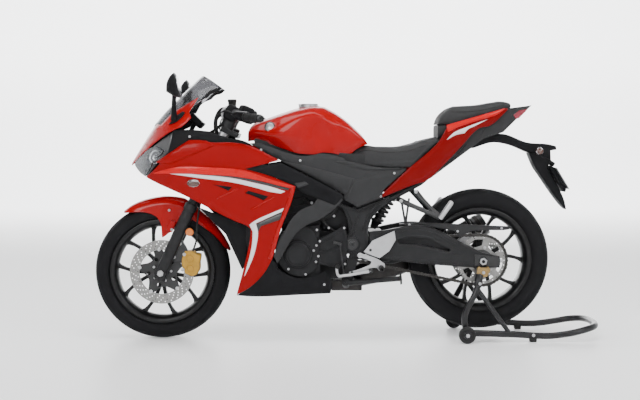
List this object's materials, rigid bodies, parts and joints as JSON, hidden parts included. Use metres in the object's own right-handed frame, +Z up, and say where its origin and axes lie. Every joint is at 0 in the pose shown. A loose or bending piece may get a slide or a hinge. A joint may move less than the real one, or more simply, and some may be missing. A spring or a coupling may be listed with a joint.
{
  "type": "sport motorcycle",
  "caption": "A fully faired sport motorcycle in red, held upright on a black rear paddock stand, with steering, turning wheels, a side stand and a fuel cap.",
  "frame": {"origin": "on the floor, midway between the front tyre's leading edge and the stand handle's end, on the mid plane", "axes": "X points forward, Y to the rider's left, Z up"},
  "size_m": [2.194, 0.712, 1.1415],
  "materials": {
    "wheel_black": "satin",
    "tyre": "matte",
    "disc_steel": "brushed",
    "chain_steel": "brushed",
    "fork_black": "satin",
    "frame_black": "satin",
    "black_rubber": "matte",
    "satin_black": "satin",
    "red_gloss": "gloss",
    "gold_metal": "satin",
    "spring_black": "satin",
    "engine_black": "satin",
    "pipe_steel": "brushed",
    "silver_metal": "satin",
    "seat_cover": "matte",
    "tinted_screen": "clear",
    "clear_lens": "clear",
    "grey_plastic": "matte",
    "mirror_face": "polished",
    "red_lens": "gloss",
    "plate_grey": "satin",
    "amber_lens": "gloss",
    "stand_black": "gloss",
    "brass_metal": "satin"
  },
  "bodies": {
    "chassis": {"drive_chain": "chain_steel", "main_frame": "frame_black", "swingarm": "frame_black", "shock_absorber": "spring_black", "engine_block": "engine_black", "engine_covers": "engine_black", "radiator": "engine_black", "exhaust_pipes": "pipe_steel", "muffler": "satin_black", "fuel_tank": "red_gloss", "filler_ring": "silver_metal", "rider_seat": "seat_cover", "pillion_seat": "seat_cover", "nose_cowl": "red_gloss", "windscreen": "tinted_screen", "headlights": "clear_lens", "inner_fairing": "grey_plastic", "side_cowl_left": "red_gloss", "side_cowl_right": "red_gloss", "black_panel_left": "grey_plastic", "black_panel_right": "grey_plastic", "belly_pan": "grey_plastic", "inner_cowl": "grey_plastic", "dash": "satin_black", "mirrors": "satin_black", "mirror_glass": "mirror_face", "side_cover_left": "grey_plastic", "side_cover_right": "grey_plastic", "tail_cowl": "red_gloss", "tail_centre": "grey_plastic", "tail_light": "red_lens", "plate_holder": "grey_plastic", "license_plate": "plate_grey", "turn_signals": "amber_lens", "footrests": "silver_metal", "pillion_brackets": "frame_black", "pedals": "silver_metal", "chain_guard": "satin_black", "rear_caliper": "silver_metal", "paddock_stand": "stand_black", "stand_hooks": "brass_metal"},
    "steering": {"fork_legs": "fork_black", "triple_clamps": "frame_black", "handlebars": "frame_black", "grips": "black_rubber", "hand_controls": "satin_black", "front_fender": "red_gloss", "front_caliper": "gold_metal"},
    "front_wheel": {"front_rim": "wheel_black", "front_tyre": "tyre", "front_disc": "disc_steel"},
    "rear_wheel": {"rear_rim": "wheel_black", "rear_tyre": "tyre", "rear_sprocket": "disc_steel", "rear_disc": "disc_steel"},
    "side_stand": {"side_stand": "frame_black"},
    "fuel_cap": {"fuel_cap": "silver_metal"},
    "roller_left": {"roller_left": "black_rubber"},
    "roller_right": {"roller_right": "black_rubber"}
  },
  "joints": [
    {"name": "steering", "type": "hinge", "parent": "chassis", "child": "steering", "pos_m": [0.53287, 0, 0.80353], "axis": [-0.4147, 0, 0.91], "range_deg": [-30, 30]},
    {"name": "front_wheel_spin", "type": "hinge", "parent": "steering", "child": "front_wheel", "pos_m": [0.804, 0, 0.293], "axis": [0, 1, 0], "continuous": true},
    {"name": "rear_wheel_spin", "type": "hinge", "parent": "chassis", "child": "rear_wheel", "pos_m": [-0.576, 0, 0.343], "axis": [0, 1, 0], "continuous": true},
    {"name": "side_stand_fold", "type": "hinge", "parent": "chassis", "child": "side_stand", "pos_m": [0.012, 0.128, 0.25], "axis": [-0.0938, -0.8928, -0.4407], "range_deg": [0, 109.5]},
    {"name": "fuel_cap_hinge", "type": "hinge", "parent": "chassis", "child": "fuel_cap", "pos_m": [0.209, 0, 1.015], "axis": [0, 1, 0], "range_deg": [0, 100]},
    {"name": "roller_left_spin", "type": "hinge", "parent": "chassis", "child": "roller_left", "pos_m": [-0.5, 0.205, 0.036], "axis": [0, 1, 0], "continuous": true},
    {"name": "roller_right_spin", "type": "hinge", "parent": "chassis", "child": "roller_right", "pos_m": [-0.5, -0.205, 0.036], "axis": [0, 1, 0], "continuous": true}
  ]
}
